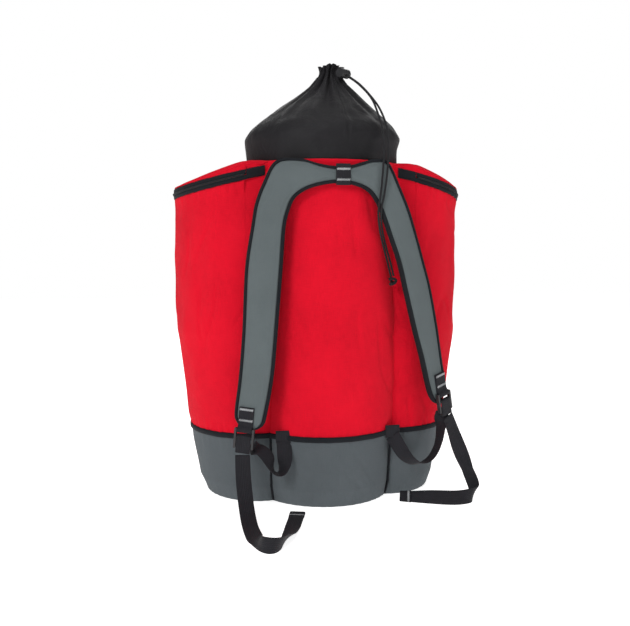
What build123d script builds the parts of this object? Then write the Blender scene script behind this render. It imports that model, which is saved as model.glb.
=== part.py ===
from build123d import *
import os
from math import cos, radians, sin, sqrt

# Ice hockey equipment backpack, standing upright.
# A tall central compartment with a drawstring collar, a zipped skate pocket on each side, a tough
# lower boot round all three, and a padded harness with ladder-lock buckles on the -Y face.
# +Z is up, the origin is on the floor at the middle of the base. "left" is -X, "right" is +X.
# All sizes are in millimetres.

# ---- driving dimensions -----------------------------------------------------------------------
WALL = 3.0            # coated fabric with its lining and foam
BASE_T = 3.0          # bottom panel
SEAM_Z = 118.0        # seam between the boot and the upper body
BODY_TOP = 588.0      # rim of the central compartment
HINGE_X = 145.0       # fold line of a pocket lid
ZIP_Z = 558.3         # zip plane at the centre of a pocket
ZIP_SLOPE = 13.2      # zip plane falls outwards, degrees
LID_OUTER_Z = 538.0   # top of the lid at its outer rim
POCKET_X, POCKET_A, POCKET_B = 133.4, 124.6, 128.0     # pocket plan: centre and semi-axes
MAIN_Y = -35.0        # centre of the central compartment
POCKET_EDGE_X = POCKET_X + POCKET_A

# plan sections as (z, centre x, centre y, semi-axis x, semi-axis y)
MAIN_BOOT = ((BASE_T, 0, MAIN_Y, 112, 118), (27, 0, MAIN_Y, 128, 133), (SEAM_Z, 0, MAIN_Y, 135, 139))
MAIN_BODY = ((SEAM_Z, 0, MAIN_Y, 135, 139), (290, 0, MAIN_Y, 140, 143), (BODY_TOP, 0, MAIN_Y, 140, 143))
SIDE_BOOT = ((BASE_T, 112, 0, 84, 100), (27, 115, 0, 102, 114), (SEAM_Z, 121, 0, 112, 122))
SIDE_BODY = (
    (SEAM_Z, 121, 0, 112, 122),
    (290, POCKET_X, 0, POCKET_A, POCKET_B),
    (620, POCKET_X, 0, POCKET_A, POCKET_B),
)
COLLAR_OUTER = (
    (BODY_TOP, 0, -35, 140, 143),
    (634, 2, -35, 145, 143),
    (668, 4, -37, 120, 116),
    (694, 8, -38, 84, 80),
    (738, 13, -38, 17, 17),
    (760, 15, -38, 21, 21),
)
COLLAR_INSETS = (2.5, 2.5, 2.5, 3.0, 9.0, 9.0)

# harness: an elliptic shell wrapped round the back of the bag, cut to this outline seen from -Y
PAD_T = 10.0
PAD_A, PAD_B = 250.0, 145.0           # back face of the pad, about (0, MAIN_Y)
FACE_T, MESH_T = 1.0, 1.0             # outer fabric and back mesh, the foam lies between
BINDING = 5.0                         # width of the edge binding
HARNESS_SPLIT_Z = 478.0               # below this line each strap swings
LEFT_OUTER = ((-102, 585), (-127, 537), (-142, 470), (-152, 402), (-157, 301), (-163, 225), (-170, 165))
LEFT_TOE = (-148, 136)
INNER = (
    (-121, 150), (-109, 216), (-102, 284), (-100, 340), (-94, 419), (-88, 478), (-76, 512), (-48, 534),
    (-4, 541), (42, 532), (66, 500), (82, 461), (101, 411), (117, 352), (129, 310), (144, 262),
    (156, 216), (169, 178),
)
RIGHT_TOE = (188, 165)
RIGHT_OUTER = ((201, 190), (192, 250), (182, 301), (166, 368), (152, 411), (138, 453), (122, 495),
               (102, 537), (82, 583))
TOP_EDGE = ((46, 584), (30, 575), (-10, 571), (-48, 577), (-64, 586))

# webbing and ladder-lock buckles, in the local frame of each strap end:
# x across the webbing, y up the strap, z out of the pad
WEB_W, WEB_T = 25.0, 1.6
STRAP_END = {"left": (-150.0, 164.0, 5.0), "right": (186.0, 208.0, -12.0)}   # x, z, roll in degrees
BAR_Y, BAR_Z, BAR_R = -26.0, 4.6, 2.2
HINGE_GAP = 0.3
MID_BAR_Y, LOW_BAR_Y = -37.0, -50.0
RAIL_IN, RAIL_W = 13.3, 3.6
WEB_TUBE_R = 3.6      # a round tube of the webbing's own section area
FLOOR_GAP = 0.2

# zip
TAPE_H, TAPE_T, TAPE_GAP = 8.0, 1.2, 0.9
COIL_W, COIL_T = 1.4, 1.6
SLIDER_LIFT = 1.5      # room between the coils and the middle of the slider
ZIP_END_X = 122.0
SLIDER_ANGLE = 80.0   # where the slider is parked, from the outer side towards the rear
SLIDER_L, SLIDER_H, SLIDER_T = 12.0, 9.0, 2.4
EAR_T, PIN_R, PIN_X = 1.0, 0.9, 4.6
PULLER_L, PULLER_W = 26.0, 6.4

# drawcord and its lock
CORD_R = 1.75
CORD_PITCH = 4.4
CORD_START = Vector(26.5, -54.0, 746.0)
CORD_DIR = Vector(0.5076, -0.654, -0.56).normalized()
LOCK_AT = 15.0        # from the start of the cord to the middle of the lock
LOCK_R, LOCK_BORE, PLUNGER_R = 8.0, 5.6, 5.3
BUTTON_TRAVEL = 3.0

os.makedirs("parts", exist_ok=True)


def save(part, name):
    """Labels a finished piece and writes it as a STEP file of its own."""
    part.label = name
    export_step(part, f"parts/{name}.step")


def lobe(sections, inset=0.0, side=1):
    """A closed solid lofted through elliptic plan sections, smaller all round by inset."""
    insets = inset if isinstance(inset, tuple) else (inset,) * len(sections)
    with BuildPart() as solid:
        for (z, x, y, a, b), grow in zip(sections, insets):
            with BuildSketch(Plane.XY.offset(z)):
                with Locations((side * x, y)):
                    Ellipse(a - grow, b - grow)
        loft(ruled=True)
    return solid.part


def prism(points, side=1):
    """A prism along Y whose outline is given in x and z, mirrored for the left side."""
    with BuildPart() as solid:
        with BuildSketch(Plane.XZ):
            with BuildLine():
                Polyline(*[(side * x, z) for x, z in points], close=True)
            make_face()
        extrude(amount=400, both=True)
    return solid.part


def zip_z(x, above=0.0):
    """Height of the zip plane at x, plus a distance measured square to the plane."""
    slope = radians(ZIP_SLOPE)
    return ZIP_Z - (x - POCKET_X) * sin(slope) / cos(slope) + above / cos(slope)


def lid_z(x):
    """Height of the top of a pocket lid at x."""
    share = (x - HINGE_X) / (POCKET_EDGE_X - HINGE_X)
    return BODY_TOP + (LID_OUTER_Z - BODY_TOP) * share


# ---- central compartment, boot and base -------------------------------------------------------
main_body_outer = lobe(MAIN_BODY)
main_boot_outer = lobe(MAIN_BOOT)

with BuildPart() as main_compartment:
    add(main_body_outer)
    add(lobe(MAIN_BODY, WALL), mode=Mode.SUBTRACT)
save(main_compartment.part, "main_compartment")

with BuildPart() as main_boot:
    add(main_boot_outer)
    add(lobe(MAIN_BOOT, WALL), mode=Mode.SUBTRACT)
save(main_boot.part, "main_boot")

with BuildPart() as base_panel:
    with BuildSketch():
        for _, x, y, a, b in (MAIN_BOOT[0], SIDE_BOOT[0]):
            with Locations((x, y), (-x, y)):
                Ellipse(a, b)
    extrude(amount=BASE_T)
save(base_panel.part, "base_panel")

# a folded tape covers the seam between the boot and the body, all the way round
BINDING_H, BINDING_T = 9.0, 2.4
with BuildPart() as seam_binding:
    with BuildSketch(Plane.XY.offset(SEAM_Z - BINDING_H / 2)):
        for _, x, y, a, b in (MAIN_BODY[0], SIDE_BODY[0]):
            with Locations((x, y), (-x, y)):
                Ellipse(a + BINDING_T, b + BINDING_T)
    extrude(amount=BINDING_H)
    for covered in (MAIN_BODY, MAIN_BOOT):
        add(lobe(covered), mode=Mode.SUBTRACT)
    for covered in (SIDE_BODY, SIDE_BOOT):
        for side in (-1, 1):
            add(lobe(covered, side=side), mode=Mode.SUBTRACT)
save(seam_binding.part, "seam_binding")

with BuildPart() as collar:
    add(lobe(COLLAR_OUTER))
    add(lobe(COLLAR_OUTER, COLLAR_INSETS), mode=Mode.SUBTRACT)
save(collar.part, "collar")


# ---- side pockets -----------------------------------------------------------------------------
def pocket_shell(side):
    """Upper wall of a side pocket, with the fixed strip of its roof next to the central compartment."""
    edge = HINGE_X - HINGE_GAP
    keep = ((0, 100), (0, BODY_TOP), (edge, BODY_TOP), (edge, zip_z(edge)), (280, zip_z(280)), (280, 100))
    hollow = ((0, 100), (0, BODY_TOP - WALL), (HINGE_X, BODY_TOP - WALL), (HINGE_X, 700), (280, 700), (280, 100))
    with BuildPart() as shell:
        add(lobe(SIDE_BODY, side=side))
        add(prism(keep, side), mode=Mode.INTERSECT)
        add(lobe(SIDE_BODY, WALL, side) & prism(hollow, side), mode=Mode.SUBTRACT)
        add(main_body_outer, mode=Mode.SUBTRACT)
    return shell.part


def pocket_boot(side):
    """Lower wall of a side pocket."""
    with BuildPart() as shell:
        add(lobe(SIDE_BOOT, side=side))
        add(lobe(SIDE_BOOT, WALL, side), mode=Mode.SUBTRACT)
        add(main_boot_outer, mode=Mode.SUBTRACT)
    return shell.part


def lid_panel(side):
    """Top cap of a side pocket: a sloping panel with a rim, open below, that folds up at HINGE_X."""
    low = HINGE_X + HINGE_GAP
    cap = ((low, zip_z(low, HINGE_GAP)), (low, lid_z(low)), (270, lid_z(270)), (270, zip_z(270, HINGE_GAP)))
    room = ((low - 5, 400), (low - 5, lid_z(low) - WALL), (270, lid_z(270) - WALL), (270, 400))
    with BuildPart() as shell:
        add(lobe(SIDE_BODY, side=side))
        add(prism(cap, side), mode=Mode.INTERSECT)
        add(lobe(SIDE_BODY, WALL, side) & prism(room, side), mode=Mode.SUBTRACT)
    return shell.part


def zip_tape(side, outline):
    """A strip of zip tape on the outside of the pocket wall, between two lines of the side view."""
    with BuildPart() as tape:
        add(lobe(SIDE_BODY, -TAPE_T, side))
        add(prism(outline, side), mode=Mode.INTERSECT)
        add(lobe(SIDE_BODY, side=side), mode=Mode.SUBTRACT)
        add(main_body_outer, mode=Mode.SUBTRACT)
    return tape.part


def zip_plane(side):
    """The inclined plane of a pocket's zip: its chain is a circle of radius POCKET_B in this plane."""
    slope = radians(ZIP_SLOPE)
    return Plane(
        origin=(side * POCKET_X, 0, ZIP_Z),
        x_dir=(side * cos(slope), 0, -sin(slope)),
        z_dir=(side * sin(slope), 0, cos(slope)),
    )


COIL_ARC = 84.0       # half of the chain's arc, degrees
COIL_RADIUS = POCKET_B + TAPE_T + 0.45


def zip_coil(side, level):
    """One side of the zip's coil, an arc of small section just above or below the zip plane."""
    plane = zip_plane(side)
    start = Plane(origin=plane.origin, x_dir=plane.x_dir, z_dir=-plane.y_dir)
    with BuildPart() as coil:
        with BuildSketch(start):
            with Locations((COIL_RADIUS + COIL_T / 2, level)):
                Rectangle(COIL_T, COIL_W)
        revolve(axis=Axis(plane.origin, plane.z_dir), revolution_arc=2 * COIL_ARC)
    return coil.part.rotate(Axis(plane.origin, plane.z_dir), -COIL_ARC)


def slider_plane(side):
    """Where the slider is parked: x points out of the pocket, z up across the zip."""
    plane = zip_plane(side)
    turn = radians(side * SLIDER_ANGLE)
    radial = plane.x_dir * cos(turn) + plane.y_dir * sin(turn)
    return Plane(origin=plane.origin + radial * (COIL_RADIUS + COIL_T + SLIDER_LIFT), x_dir=radial, z_dir=plane.z_dir)


def zip_slider(side):
    """Slider body outside the coil, with two ears and the cross bar that holds the puller."""
    with BuildPart() as slider:
        with BuildSketch(slider_plane(side).offset(-SLIDER_H / 2)):
            with Locations((SLIDER_T / 2, 0)):
                Rectangle(SLIDER_T, SLIDER_L)
        extrude(amount=SLIDER_H)
        for level in (-SLIDER_H / 2, SLIDER_H / 2 - EAR_T):
            with BuildSketch(slider_plane(side).offset(level)):
                with Locations(((SLIDER_T + PIN_X + 1) / 2, 0)):
                    Rectangle(PIN_X + 1 - SLIDER_T, 3.0)
            extrude(amount=EAR_T)
        with BuildSketch(slider_plane(side).offset(-SLIDER_H / 2)):
            with Locations((PIN_X, 0)):
                Circle(PIN_R)
        extrude(amount=SLIDER_H)
    return slider.part


def zip_puller(side):
    """Flat pull tab with an eye round the slider's cross bar; it lies back along the zip."""
    with BuildPart() as puller:
        with BuildSketch(slider_plane(side).offset(-PULLER_W / 2)):
            with Locations((PIN_X, 0)):
                Circle(PIN_R + 1.0)
            with Locations((PIN_X, side * (PULLER_L / 2 + 1))):
                Rectangle(1.4, PULLER_L)
            with Locations((PIN_X, 0)):
                Circle(PIN_R + 0.15, mode=Mode.SUBTRACT)
        extrude(amount=PULLER_W)
    return puller.part


for name, side in (("left", -1), ("right", 1)):
    save(pocket_shell(side), f"{name}_pocket")
    save(pocket_boot(side), f"{name}_boot")
    save(lid_panel(side), f"{name}_lid_panel")
    edge = HINGE_X - HINGE_GAP
    lower = (
        (ZIP_END_X, zip_z(ZIP_END_X, -TAPE_H)), (ZIP_END_X, zip_z(ZIP_END_X, TAPE_H)),
        (edge, zip_z(edge, TAPE_H)), (edge, zip_z(edge, -TAPE_GAP)),
        (280, zip_z(280, -TAPE_GAP)), (280, zip_z(280, -TAPE_H)),
    )
    save(zip_tape(side, lower), f"{name}_zip_tape_lower")
    low = HINGE_X + HINGE_GAP
    upper = (
        (low, zip_z(low, TAPE_GAP)), (low, zip_z(low, TAPE_H)),
        (280, zip_z(280, TAPE_H)), (280, zip_z(280, TAPE_GAP)),
    )
    save(zip_tape(side, upper), f"{name}_zip_tape_upper")
    save(zip_coil(side, -COIL_W / 2 - 0.15), f"{name}_zip_coil_lower")
    save(zip_coil(side, COIL_W / 2 + 0.15), f"{name}_zip_coil_upper")
    save(zip_slider(side), f"{name}_zip_slider")
    save(zip_puller(side), f"{name}_zip_puller")


# ---- harness ----------------------------------------------------------------------------------
def smooth(points, count):
    """Evenly spaced points on a smooth curve through the given ones, without the last."""
    curve = Spline(*points, mode=Mode.PRIVATE)
    return [curve @ (k / count) for k in range(count)]


def shrink(points, amount):
    """The closed outline moved inwards by an amount; it runs anticlockwise seen from -Y."""
    moved = []
    for before, at, after in zip(points[-1:] + points[:-1], points, points[1:] + points[:1]):
        first, second = (at - before).normalized(), (after - at).normalized()
        middle = (first + second).normalized()
        moved.append(at + Vector(-middle.Y, middle.X) * (amount / middle.dot(first)))
    return moved


HARNESS_EDGE = (
    smooth((*LEFT_OUTER, LEFT_TOE, INNER[0]), 22)
    + smooth(INNER, 32)
    + smooth((INNER[-1], RIGHT_TOE, *RIGHT_OUTER), 22)
    + smooth((RIGHT_OUTER[-1], *TOP_EDGE), 8)
    + [Vector(*TOP_EDGE[-1])]
)


def harness_band(inset, inner, outer, low, high):
    """The harness outline cut through the shell round the bag's back, between two depths and heights."""
    with BuildPart() as band:
        with BuildSketch(Plane.XZ):
            with BuildLine():
                Polyline(*shrink(HARNESS_EDGE, inset), close=True)
            make_face()
        extrude(amount=400)
        with BuildSketch(Plane.XY.offset(low)):
            with Locations((0, MAIN_Y)):
                Ellipse(PAD_A + outer, PAD_B + outer)
                Ellipse(PAD_A + inner, PAD_B + inner, mode=Mode.SUBTRACT)
        extrude(amount=high - low, mode=Mode.INTERSECT)
    return band.part


def harness_layer(suffix, low, high):
    """One layer of the harness between two heights; the binding is what the other layers leave."""
    if suffix == "binding":
        with BuildPart() as layer:
            add(harness_band(0, 0, PAD_T, low, high))
            add(harness_band(BINDING, -1, PAD_T + 1, low - 1, high + 1), mode=Mode.SUBTRACT)
        return layer.part
    inner, outer = LAYERS[suffix]
    return harness_band(BINDING, inner, outer, low, high)


LAYERS = {"mesh": (0, MESH_T), "foam": (MESH_T, PAD_T - FACE_T), "face": (PAD_T - FACE_T, PAD_T)}
for suffix in ("binding", "mesh", "foam", "face"):
    save(harness_layer(suffix, HARNESS_SPLIT_Z + HINGE_GAP / 2, 650), f"yoke_{suffix}")
    straps = harness_layer(suffix, 50, HARNESS_SPLIT_Z - HINGE_GAP / 2).solids().sort_by(Axis.X)
    halves = {"left": [s for s in straps if s.center().X < 0], "right": [s for s in straps if s.center().X > 0]}
    for name in ("left", "right"):
        with BuildPart() as strap:
            add(halves[name])
        save(strap.part, f"{name}_strap_{suffix}")

# a short webbing sewn down the middle of the yoke
with BuildPart() as yoke_webbing:
    with BuildSketch(Plane.XZ):
        with Locations((4, 556)):
            Rectangle(24, 36)
    extrude(amount=400)
    with BuildSketch(Plane.XY):
        with Locations((0, MAIN_Y)):
            Ellipse(PAD_A + PAD_T + 2.0, PAD_B + PAD_T + 2.0)
            Ellipse(PAD_A + PAD_T, PAD_B + PAD_T, mode=Mode.SUBTRACT)
    extrude(amount=700, mode=Mode.INTERSECT)
save(yoke_webbing.part, "yoke_webbing")


# ---- strap ends: sewn webbing, ladder-lock buckle and the adjusting webbing ---------------------
def end_plane(name):
    """Frame of a strap end: x across the webbing, y up the strap, z out of the pad's face."""
    x, z, roll = STRAP_END[name]
    a, b = PAD_A + PAD_T, PAD_B + PAD_T
    root = sqrt(1 - (x / a) ** 2)
    normal = Vector(b * x / a**2 / root, -1, 0).normalized()
    across = Vector(-normal.Y, normal.X, 0)
    tilt = radians(roll)
    return Plane(
        origin=(x, MAIN_Y - b * root, z),
        x_dir=across * cos(tilt) - Vector(0, 0, 1) * sin(tilt),
        z_dir=normal,
    )


def side_view(name):
    """The same frame turned so that a profile in y and z is drawn in it and extruded across."""
    plane = end_plane(name)
    return Plane(origin=plane.origin, x_dir=plane.y_dir, z_dir=plane.x_dir)


def end_webbing(name):
    """Webbing sewn to the pad and looped round the buckle's top bar."""
    with BuildPart() as web:
        with BuildSketch(side_view(name)):
            with Locations((-7.5, 0.05 + WEB_T / 2)):
                Rectangle(39, WEB_T)
            with Locations((BAR_Y, BAR_Z)):
                Circle(BAR_R + HINGE_GAP + WEB_T)
                Circle(BAR_R + HINGE_GAP, mode=Mode.SUBTRACT)
        extrude(amount=WEB_W / 2, both=True)
    return web.part


def ladder_lock(name):
    """Moulded buckle: three bars between two rails, and a lifting tab with a hole at its tip."""
    rail_x = RAIL_IN + RAIL_W / 2
    with BuildPart() as buckle:
        with BuildSketch(end_plane(name).offset(BAR_Z - 3)):
            with Locations((-rail_x, -39), (rail_x, -39)):
                RectangleRounded(RAIL_W, 34, 1.5)
            with Locations((0, LOW_BAR_Y)):
                Rectangle(2 * RAIL_IN + RAIL_W, 5)
        extrude(amount=4.6)
        with BuildSketch(end_plane(name).offset(BAR_Z - 3)):
            with Locations((-rail_x, -39), (rail_x, -39)):
                RectangleRounded(RAIL_W, 34, 1.5)
        extrude(amount=6)
        with BuildSketch(side_view(name)):
            with Locations((BAR_Y, BAR_Z)):
                Circle(BAR_R)
            with Locations((MID_BAR_Y, BAR_Z)):
                Circle(2.0)
        extrude(amount=rail_x, both=True)
        with BuildSketch(end_plane(name).offset(BAR_Z - 3)):
            with Locations((0, -57.5)):
                RectangleRounded(22, 12, 3)
            with Locations((0, -59)):
                Circle(2.2, mode=Mode.SUBTRACT)
        extrude(amount=2.4)
    return buckle.part


THREAD_Z = BAR_R + HINGE_GAP


def web_thread(name):
    """The stretch of adjusting webbing that wraps the buckle's middle bar."""
    back = BAR_Z - THREAD_Z - WEB_T / 2 + 0.2
    front = BAR_Z + THREAD_Z + WEB_T / 2 + 0.2
    with BuildPart() as web:
        with BuildSketch(side_view(name)):
            with Locations((MID_BAR_Y, BAR_Z + 0.2)):
                Circle(THREAD_Z + WEB_T)
                Circle(THREAD_Z, mode=Mode.SUBTRACT)
            with Locations((MID_BAR_Y - 10, BAR_Z)):
                Rectangle(20, 20, mode=Mode.SUBTRACT)
            with Locations((MID_BAR_Y - 1.5, back)):
                Rectangle(3, WEB_T)
            with Locations((MID_BAR_Y - 13, front)):
                Rectangle(26, WEB_T)
        extrude(amount=WEB_W / 2 - 0.2, both=True)
    return web.part


def tube(points, radius, tightest, last_radius=None):
    """A round tube along straight runs joined by tangent arcs, each as large as its runs allow."""
    ends = [Vector(*p) for p in points]
    radii = []
    for a, b, c in zip(ends, ends[1:], ends[2:]):
        turn = (b - a).get_angle(c - b)
        room = 0.45 * min((b - a).length, (c - b).length)
        radii.append(room / (sin(radians(turn / 2)) / cos(radians(turn / 2))))
    print("  radii", [round(r) for r in radii], "tightest allowed", tightest)
    with BuildPart() as solid:
        with BuildLine() as path:
            FilletPolyline(*ends, radius=radii)
        with BuildSketch(Plane(origin=path.line @ 0, z_dir=path.line % 0)):
            Circle(radius)
        sweep()
    length = sum(edge.length for edge in path.line.edges())
    expected = 3.14159265 * radius**2 * length
    print("  length", round(length), "volume share", round(solid.part.volume / expected, 4))
    return solid.part


# routes of the loose webbing, from the buckle to the folded end; the seam anchor to the buckle
TAIL_ROUTE = {
    "left": [(-158, -168, 99), (-158, -172, 72), (-157, -184, 45), (-156, -209, 20), (-155, -243, 8),
             (-153, -280, 5), (-152, -314, 4.4), (-148, -340, 4.2), (-133, -350, 4.4), (-119, -339, 5),
             (-109, -310, 5.4), (-96, -272, 4.6), (-85, -236, 4.6), (-75, -202, 4.2)],
    "right": [(202, -144, 144), (212, -141, 120), (222, -139, 94), (233, -138, 68), (243, -139, 43),
              (250, -146, 21), (247, -163, 9), (232, -180, 6), (208, -184, 5), (182, -176, 5.4),
              (158, -164, 4.6), (133, -152, 4.2)],
}
SLACK_ROUTE = {
    "left": [(-104, -138.8, 111), (-105, -145, 92), (-111, -151, 73), (-124, -154, 63), (-138, -155, 71),
             (-148, -156.5, 89), (-153, -157.5, 110)],
    "right": [(104, -138.8, 111), (110, -143, 90), (126, -147, 68), (148, -148, 57), (171, -146, 66),
              (186, -141, 90), (192, -137, 120), (193.5, -136, 154)],
}

for name, side in (("left", -1), ("right", 1)):
    save(end_webbing(name), f"{name}_end_webbing")
    save(ladder_lock(name), f"{name}_ladder_lock")
    save(web_thread(name), f"{name}_web_thread")
    print(name, "tail")
    save(tube(TAIL_ROUTE[name], WEB_TUBE_R, 11), f"{name}_web_tail")
    print(name, "slack")
    save(tube(SLACK_ROUTE[name], WEB_TUBE_R, 11), f"{name}_web_slack")
    # folded and sewn end of the webbing
    a, b = (Vector(*p) for p in TAIL_ROUTE[name][-2:])
    along = Vector((b - a).X, (b - a).Y, 0).normalized()
    fold_plane = Plane(origin=b + along * 9.5 - Vector(0, 0, b.Z - FLOOR_GAP), x_dir=along, z_dir=(0, 0, 1))
    with BuildPart() as web_hem:
        with BuildSketch(fold_plane):
            RectangleRounded(18, WEB_W, 1.5)
        extrude(amount=3 * WEB_T)
    save(web_hem.part, f"{name}_web_hem")
    # webbing anchor sewn into the seam where two lobes meet
    with BuildPart() as web_anchor:
        with BuildSketch(Plane(origin=(side * 104, -122, SEAM_Z + 2), x_dir=(1, 0, 0), z_dir=(0, -1, 0))):
            Rectangle(WEB_W, 20)
        extrude(amount=12.5)
        add(lobe(SIDE_BODY, side=side), mode=Mode.SUBTRACT)
        add(lobe(SIDE_BOOT, side=side), mode=Mode.SUBTRACT)
        for covered in (main_body_outer, main_boot_outer, seam_binding.part):
            add(covered, mode=Mode.SUBTRACT)
    with BuildPart() as anchor_block:
        add(web_anchor.solids().sort_by(SortBy.VOLUME)[-1])
    save(anchor_block.part, f"{name}_web_anchor")


# ---- drawcord ---------------------------------------------------------------------------------
lock_normal = Vector(0, 0, 1).cross(CORD_DIR).normalized()
LOCK_PLANE = Plane(origin=CORD_START + CORD_DIR * LOCK_AT, x_dir=CORD_DIR, z_dir=lock_normal)
start = {"a": CORD_START - lock_normal * (CORD_PITCH / 2), "b": CORD_START + lock_normal * (CORD_PITCH / 2)}
CORD_ROUTE = {
    "a": [start["a"] + CORD_DIR * 2, start["a"] + CORD_DIR * 27, start["a"] + CORD_DIR * 54 + Vector(0.3, -0.2, 0.6),
          (68, -122, 688), (73, -138, 664), (76, -166, 629), (72, -189, 590), (69, -190.5, 553),
          (66, -190.3, 520), (62.5, -186.5, 493), (69, -174, 464), (80, -159, 437), (90, -151, 409),
          (97, -147, 386)],
    "b": [start["b"] + CORD_DIR * 2, start["b"] + CORD_DIR * 27, start["b"] + CORD_DIR * 54 + Vector(0.3, 0.1, 0.5),
          (72, -110, 690), (81, -133, 666), (85, -162, 631), (80, -187, 592), (77, -189.8, 555),
          (72.5, -189.8, 521), (66.5, -187.5, 494), (73.5, -172, 464), (84, -158, 438), (94.5, -151.5, 411),
          (101, -148.5, 388)],
}
for strand in ("a", "b"):
    print("drawcord", strand)
    save(tube(CORD_ROUTE[strand], CORD_R, 9), f"drawcord_{strand}")

with BuildPart() as drawcord_knot:
    with Locations((101, -145.5, 379)):
        Sphere(6.5)
    for strand in ("a", "b"):
        add(tube(CORD_ROUTE[strand], CORD_R, 9), mode=Mode.SUBTRACT)
save(drawcord_knot.part, "drawcord_knot")

SLOT_Z, SLOT_Y = CORD_PITCH / 2 + CORD_R + 0.5, CORD_R + 0.5
with BuildPart() as cord_lock_body:
    with BuildSketch(LOCK_PLANE.offset(-13)):
        Circle(LOCK_R)
    extrude(amount=21)
    with BuildSketch(LOCK_PLANE.offset(-11)):
        Circle(LOCK_BORE)
    extrude(amount=30, mode=Mode.SUBTRACT)
    with BuildSketch(LOCK_PLANE.offset(-SLOT_Z)):
        Rectangle(30, 2 * SLOT_Y)
    extrude(amount=2 * SLOT_Z, mode=Mode.SUBTRACT)
save(cord_lock_body.part, "cord_lock_body")

with BuildPart() as cord_lock_button:
    with BuildSketch(LOCK_PLANE.offset(-6)):
        Circle(PLUNGER_R)
    extrude(amount=18)
    with BuildSketch(LOCK_PLANE.offset(-SLOT_Z)):
        Rectangle(30, 2 * SLOT_Y)
    extrude(amount=2 * SLOT_Z + BUTTON_TRAVEL, mode=Mode.SUBTRACT)
save(cord_lock_button.part, "cord_lock_button")

with BuildPart() as cord_lock_spring:
    with BuildSketch(LOCK_PLANE.offset(-11)):
        Circle(4.2)
        Circle(3.2, mode=Mode.SUBTRACT)
    extrude(amount=5)
save(cord_lock_spring.part, "cord_lock_spring")

for name in ("left", "right"):
    plane = end_plane(name)
    bar = plane.from_local_coords((0, BAR_Y, BAR_Z))
    print(name, "buckle axis", tuple(round(v, 4) for v in plane.x_dir), "at", tuple(round(v, 2) for v in bar))
    slider = slider_plane(1 if name == "right" else -1)
    print(name, "puller axis", tuple(round(v, 4) for v in slider.z_dir), "at",
          tuple(round(v, 2) for v in slider.from_local_coords((PIN_X, 0, 0))))
print("lock middle", tuple(round(v, 3) for v in LOCK_PLANE.origin))
print("lock axis", tuple(round(v, 4) for v in LOCK_PLANE.z_dir), "cord dir", tuple(round(v, 4) for v in CORD_DIR))
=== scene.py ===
from math import cos, pi, radians, sin, sqrt, tan

import bmesh
import bpy
import numpy as np
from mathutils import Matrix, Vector, noise


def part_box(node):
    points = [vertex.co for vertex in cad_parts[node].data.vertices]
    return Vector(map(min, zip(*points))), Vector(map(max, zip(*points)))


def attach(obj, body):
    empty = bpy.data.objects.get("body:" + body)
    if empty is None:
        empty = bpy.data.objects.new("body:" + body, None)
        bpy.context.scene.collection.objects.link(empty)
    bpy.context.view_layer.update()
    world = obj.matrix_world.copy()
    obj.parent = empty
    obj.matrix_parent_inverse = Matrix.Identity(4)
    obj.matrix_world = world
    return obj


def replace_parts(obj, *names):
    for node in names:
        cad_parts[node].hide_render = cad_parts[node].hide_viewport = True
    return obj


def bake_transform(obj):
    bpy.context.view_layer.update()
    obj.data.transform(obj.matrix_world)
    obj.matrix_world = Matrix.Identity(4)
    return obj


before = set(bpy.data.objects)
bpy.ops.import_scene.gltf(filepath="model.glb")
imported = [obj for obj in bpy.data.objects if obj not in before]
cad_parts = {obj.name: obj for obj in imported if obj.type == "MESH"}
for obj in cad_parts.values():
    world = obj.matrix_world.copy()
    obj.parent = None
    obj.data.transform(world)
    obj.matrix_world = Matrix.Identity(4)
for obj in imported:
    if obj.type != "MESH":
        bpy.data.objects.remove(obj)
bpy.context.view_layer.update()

# Lengths are in millimetres and become metres when a mesh is made. Routes of webs and cords, lights and
# the camera are in metres.
MM = 0.001
SEAM_Z, TOP_Z, HINGE_X = 118.0, 578.0, 145.0    # boot seam, top of the red cloth, fold of the lids
ZIP_Z, ZIP_SLOPE, LID_OUTER_Z = 558.3, radians(13.2), 538.0
POCKET_X, POCKET_A, POCKET_B, MAIN_Y = 133.4, 124.6, 128.0, -35.0
CLOTH_T, WEB_W, WEB_T = 1.6, 25, 1.6
SIDES = (("left", -1), ("right", 1))
# The ellipses of a lobe: height, middle x, middle y, half width, half depth.
MAIN = ((0, 0, MAIN_Y, 120, 127), (27, 0, MAIN_Y, 128, 133), (118, 0, MAIN_Y, 135, 139),
        (290, 0, MAIN_Y, 140, 143), (620, 0, MAIN_Y, 140, 143))
SIDE = ((0, 113, 0, 92, 108), (27, 115, 0, 102, 114), (118, 121, 0, 112, 122),
        (290, 133.4, 0, 124.6, 128), (620, 133.4, 0, 124.6, 128))
BODY = "bag"


# ---- small helpers ----------------------------------------------------------------------------
def mesh_object(name, points, faces, uvs=None, material=None, smooth=True):
    """A mesh from points in millimetres, faces, and one (u, v) for each point, in metres."""
    data = bpy.data.meshes.new(name)
    data.from_pydata([tuple(float(c) * MM for c in p) for p in points], [], faces)
    data.validate()
    if uvs is not None:
        layer = data.uv_layers.new(name="UVMap")
        index = np.zeros(len(data.loops), int)
        data.loops.foreach_get("vertex_index", index)
        layer.data.foreach_set("uv", np.asarray(uvs, float)[index].ravel())
    data.polygons.foreach_set("use_smooth", [smooth] * len(data.polygons))
    obj = bpy.data.objects.new(name, data)
    bpy.context.scene.collection.objects.link(obj)
    if material:
        data.materials.append(material)
    return obj


def grid_faces(rows, columns, closed=False, start=0):
    faces = []
    last = columns if closed else columns - 1
    for r in range(rows - 1):
        for c in range(last):
            d = (c + 1) % columns
            a = start + r * columns
            faces.append((a + c, a + d, a + d + columns, a + c + columns))
    return faces


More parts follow.
